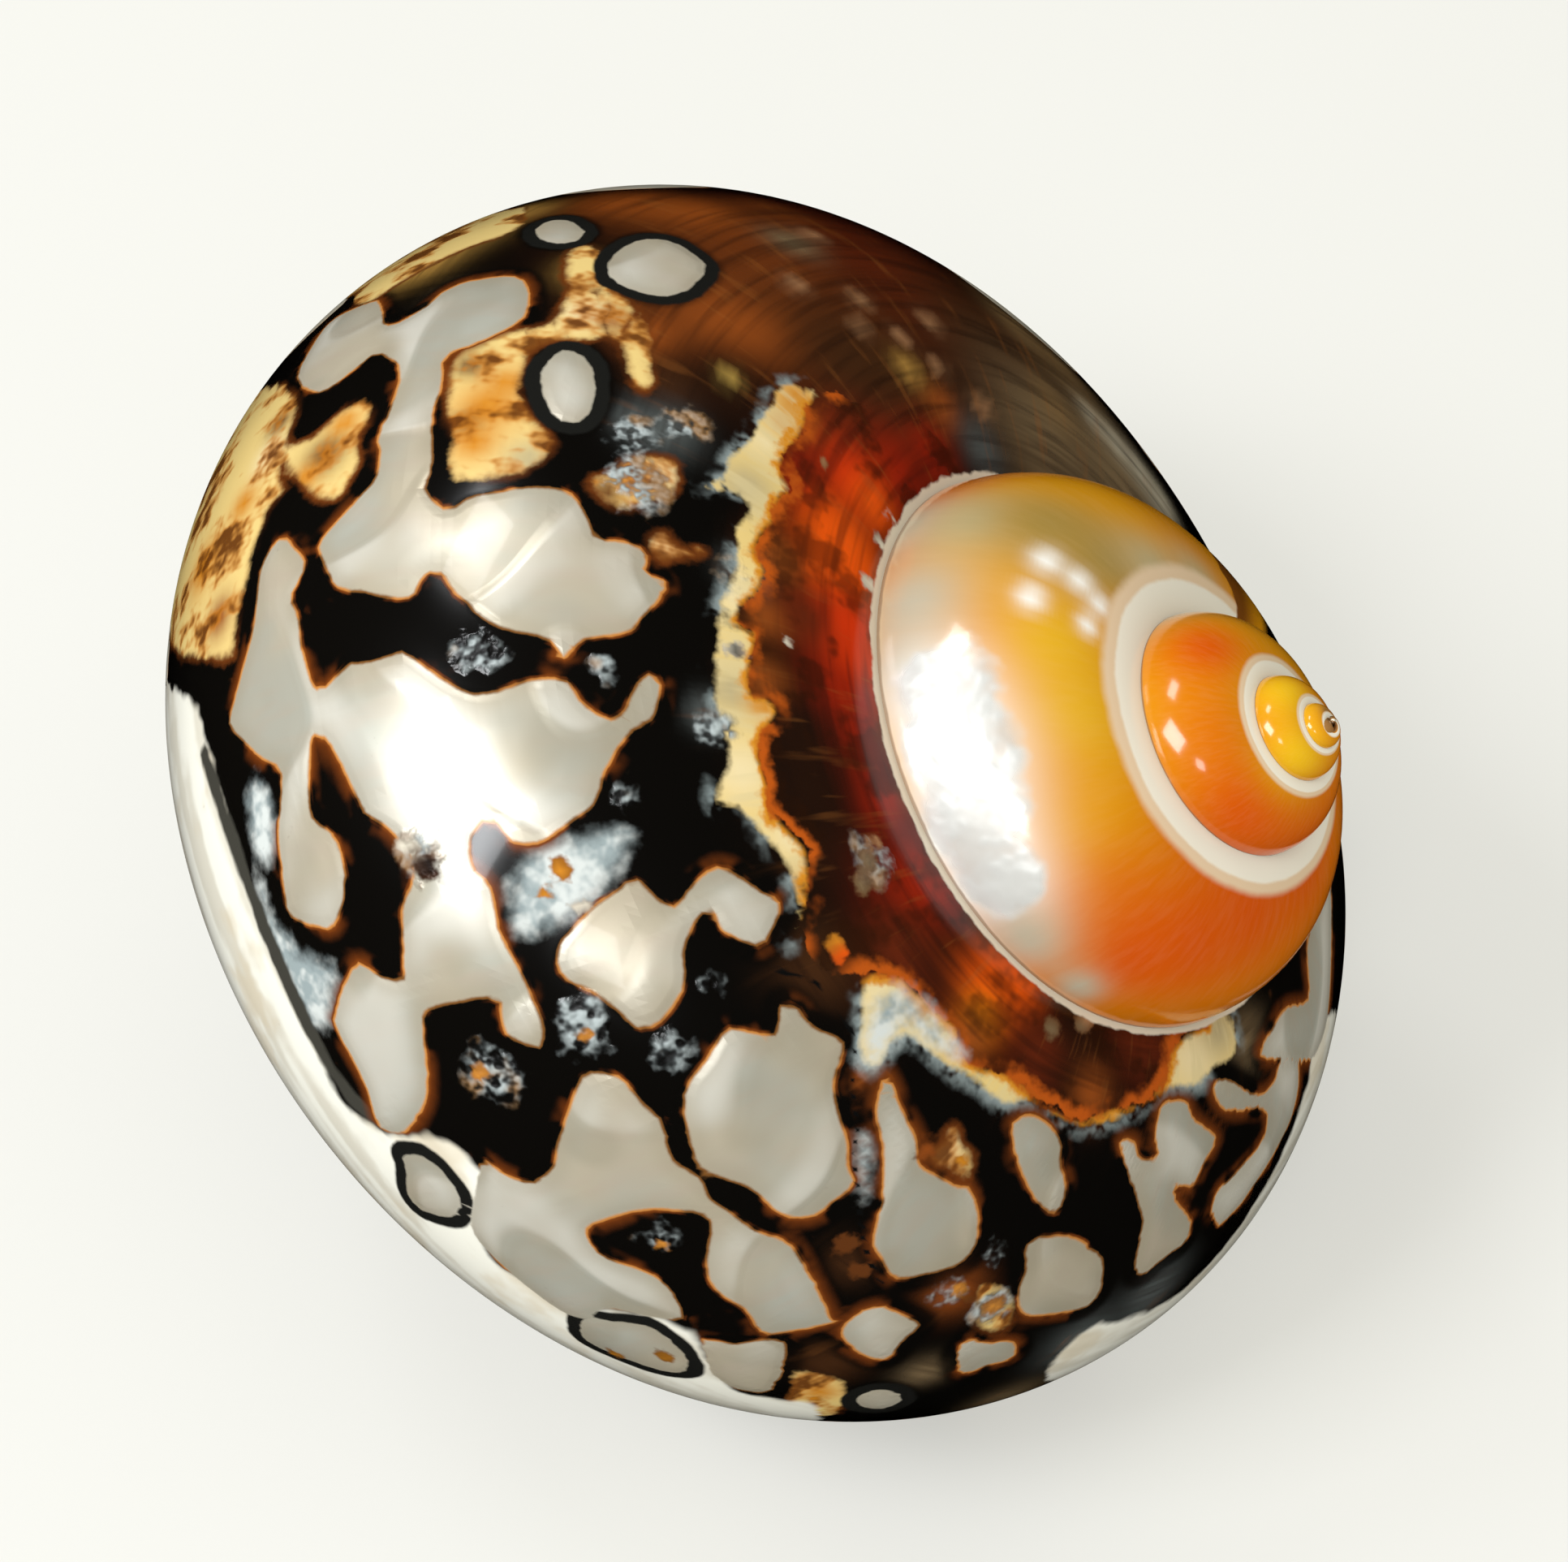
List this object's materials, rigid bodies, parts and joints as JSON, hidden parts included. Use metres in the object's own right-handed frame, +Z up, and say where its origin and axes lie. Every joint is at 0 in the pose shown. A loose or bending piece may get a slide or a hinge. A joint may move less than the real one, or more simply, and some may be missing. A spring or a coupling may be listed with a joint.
{
  "type": "turban shell",
  "caption": "Large round sea snail shell lying mouth-down, ground and polished: swollen last turn, short spire and a round open mouth with a ground-flat rim.",
  "frame": {"origin": "centre of the bounding box's base, on the table plane that the ground rim lies on", "axes": "+Z up from the table, +Y away from the side that the picture looks at, +X to the right of that view, towards the spire"},
  "size_m": [0.0674, 0.0836, 0.0514],
  "materials": {
    "polished_shell": "polished"
  },
  "bodies": {
    "root": {"shell": "polished_shell"}
  },
  "joints": []
}
